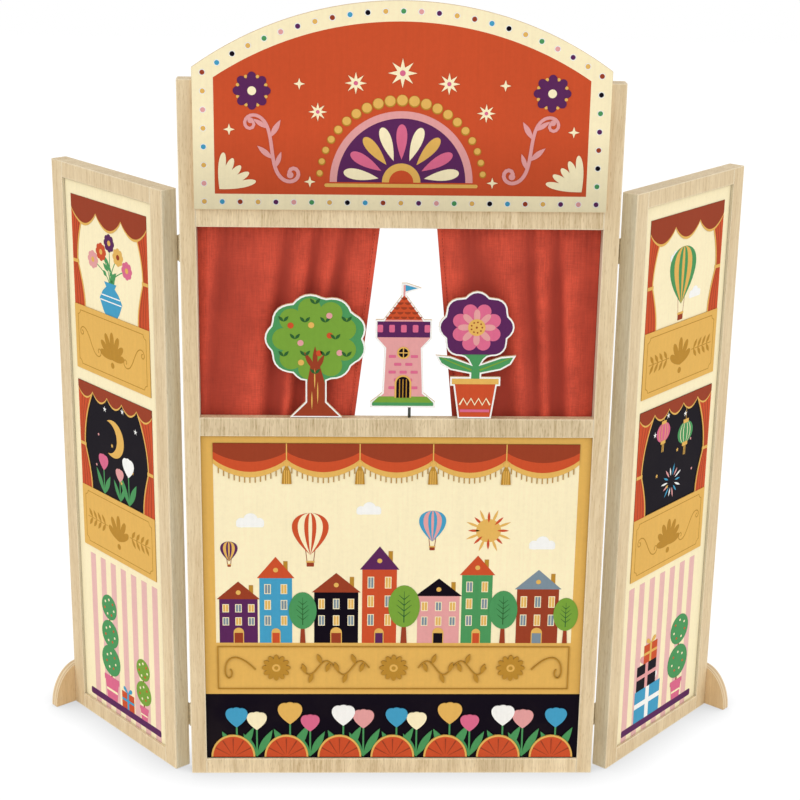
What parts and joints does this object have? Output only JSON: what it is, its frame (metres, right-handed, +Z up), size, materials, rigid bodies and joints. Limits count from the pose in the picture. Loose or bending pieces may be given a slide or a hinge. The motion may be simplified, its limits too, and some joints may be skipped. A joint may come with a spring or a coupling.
{
  "type": "folding puppet theatre",
  "caption": "Folding wooden puppet theatre: arched crown, curtained stage opening, printed lower panel, two hinged wings on half-oval feet.",
  "frame": {"origin": "middle of the stage frame's underside", "axes": "+Z up, +X along the stage frame to the audience's right, +Y away from the audience"},
  "size_m": [0.7814, 0.2038, 0.819],
  "materials": {
    "frame_wood": "sanded pale hardwood, fine straight grain, clear matt",
    "dowel_wood": "turned beech dowel, matt",
    "foot_plywood": "birch plywood, ply edge showing, matt",
    "crown_print": "thin board with a satin printed face",
    "stage_print": "thin board with a satin printed face",
    "wing_print": "thin board with a satin printed face",
    "curtain_cloth": "soft plain-woven red cloth",
    "hinge_metal": "small butt hinge, dull brassed steel",
    "figure_wire": "straight steel wire, dark oxide finish",
    "tree_print": "flat plywood figure, printed face",
    "tower_print": "flat plywood figure, printed face",
    "flower_print": "flat plywood figure, printed face"
  },
  "bodies": {
    "stage_frame": {"left_stile": "frame_wood", "right_stile": "frame_wood", "bottom_rail": "frame_wood", "left_bottom_dowel": "dowel_wood", "right_bottom_dowel": "dowel_wood", "middle_rail": "frame_wood", "left_middle_dowel": "dowel_wood", "right_middle_dowel": "dowel_wood", "upper_rail": "frame_wood", "left_upper_dowel": "dowel_wood", "right_upper_dowel": "dowel_wood", "top_rail": "frame_wood", "left_top_dowel": "dowel_wood", "right_top_dowel": "dowel_wood", "lower_panel": "stage_print", "crown_board": "crown_print", "curtain_rod": "frame_wood", "left_curtain": "curtain_cloth", "right_curtain": "curtain_cloth", "left_lower_hinge_frame_leaf": "hinge_metal", "left_lower_hinge_pin": "hinge_metal", "left_upper_hinge_frame_leaf": "hinge_metal", "left_upper_hinge_pin": "hinge_metal", "right_lower_hinge_frame_leaf": "hinge_metal", "right_lower_hinge_pin": "hinge_metal", "right_upper_hinge_frame_leaf": "hinge_metal", "right_upper_hinge_pin": "hinge_metal"},
    "left_wing": {"left_wing_inner_stile": "frame_wood", "left_wing_outer_stile": "frame_wood", "left_wing_bottom_rail": "frame_wood", "left_wing_bottom_inner_dowel": "dowel_wood", "left_wing_bottom_outer_dowel": "dowel_wood", "left_wing_top_rail": "frame_wood", "left_wing_top_inner_dowel": "dowel_wood", "left_wing_top_outer_dowel": "dowel_wood", "left_wing_panel": "wing_print", "left_wing_foot": "foot_plywood", "left_lower_hinge_wing_leaf": "hinge_metal", "left_upper_hinge_wing_leaf": "hinge_metal"},
    "right_wing": {"right_wing_inner_stile": "frame_wood", "right_wing_outer_stile": "frame_wood", "right_wing_bottom_rail": "frame_wood", "right_wing_bottom_inner_dowel": "dowel_wood", "right_wing_bottom_outer_dowel": "dowel_wood", "right_wing_top_rail": "frame_wood", "right_wing_top_inner_dowel": "dowel_wood", "right_wing_top_outer_dowel": "dowel_wood", "right_wing_panel": "wing_print", "right_wing_foot": "foot_plywood", "right_lower_hinge_wing_leaf": "hinge_metal", "right_upper_hinge_wing_leaf": "hinge_metal"},
    "left_curtain_lead": {"left_curtain_hem": "curtain_cloth"},
    "right_curtain_lead": {"right_curtain_hem": "curtain_cloth"},
    "tree_figure": {"tree_card": "tree_print", "tree_rod": "figure_wire"},
    "tower_figure": {"tower_card": "tower_print", "tower_rod": "figure_wire"},
    "flower_figure": {"flower_card": "flower_print", "flower_rod": "figure_wire"}
  },
  "joints": [
    {"name": "left_wing_hinge", "type": "hinge", "parent": "stage_frame", "child": "left_wing", "pos_m": [-0.2165, 0.0107, 0.317], "axis": [0, 0, -1], "range_deg": [-56.3, 120.7]},
    {"name": "right_wing_hinge", "type": "hinge", "parent": "stage_frame", "child": "right_wing", "pos_m": [0.2165, 0.0107, 0.317], "axis": [0, 0, 1], "range_deg": [-54, 123]},
    {"name": "left_curtain_slide", "type": "slide", "parent": "stage_frame", "child": "left_curtain_lead", "axis": [-1, 0, 0], "range_m": [0, 0.095], "deforming": ["left_curtain"]},
    {"name": "right_curtain_slide", "type": "slide", "parent": "stage_frame", "child": "right_curtain_lead", "axis": [1, 0, 0], "range_m": [0, 0.085], "deforming": ["right_curtain"]},
    {"name": "tree_lift", "type": "slide", "parent": "stage_frame", "child": "tree_figure", "axis": [0, 0, 1], "range_m": [0, 0.04]},
    {"name": "tower_lift", "type": "slide", "parent": "stage_frame", "child": "tower_figure", "axis": [0, 0, 1], "range_m": [0, 0.04]},
    {"name": "flower_lift", "type": "slide", "parent": "stage_frame", "child": "flower_figure", "axis": [0, 0, 1], "range_m": [0, 0.04]}
  ]
}
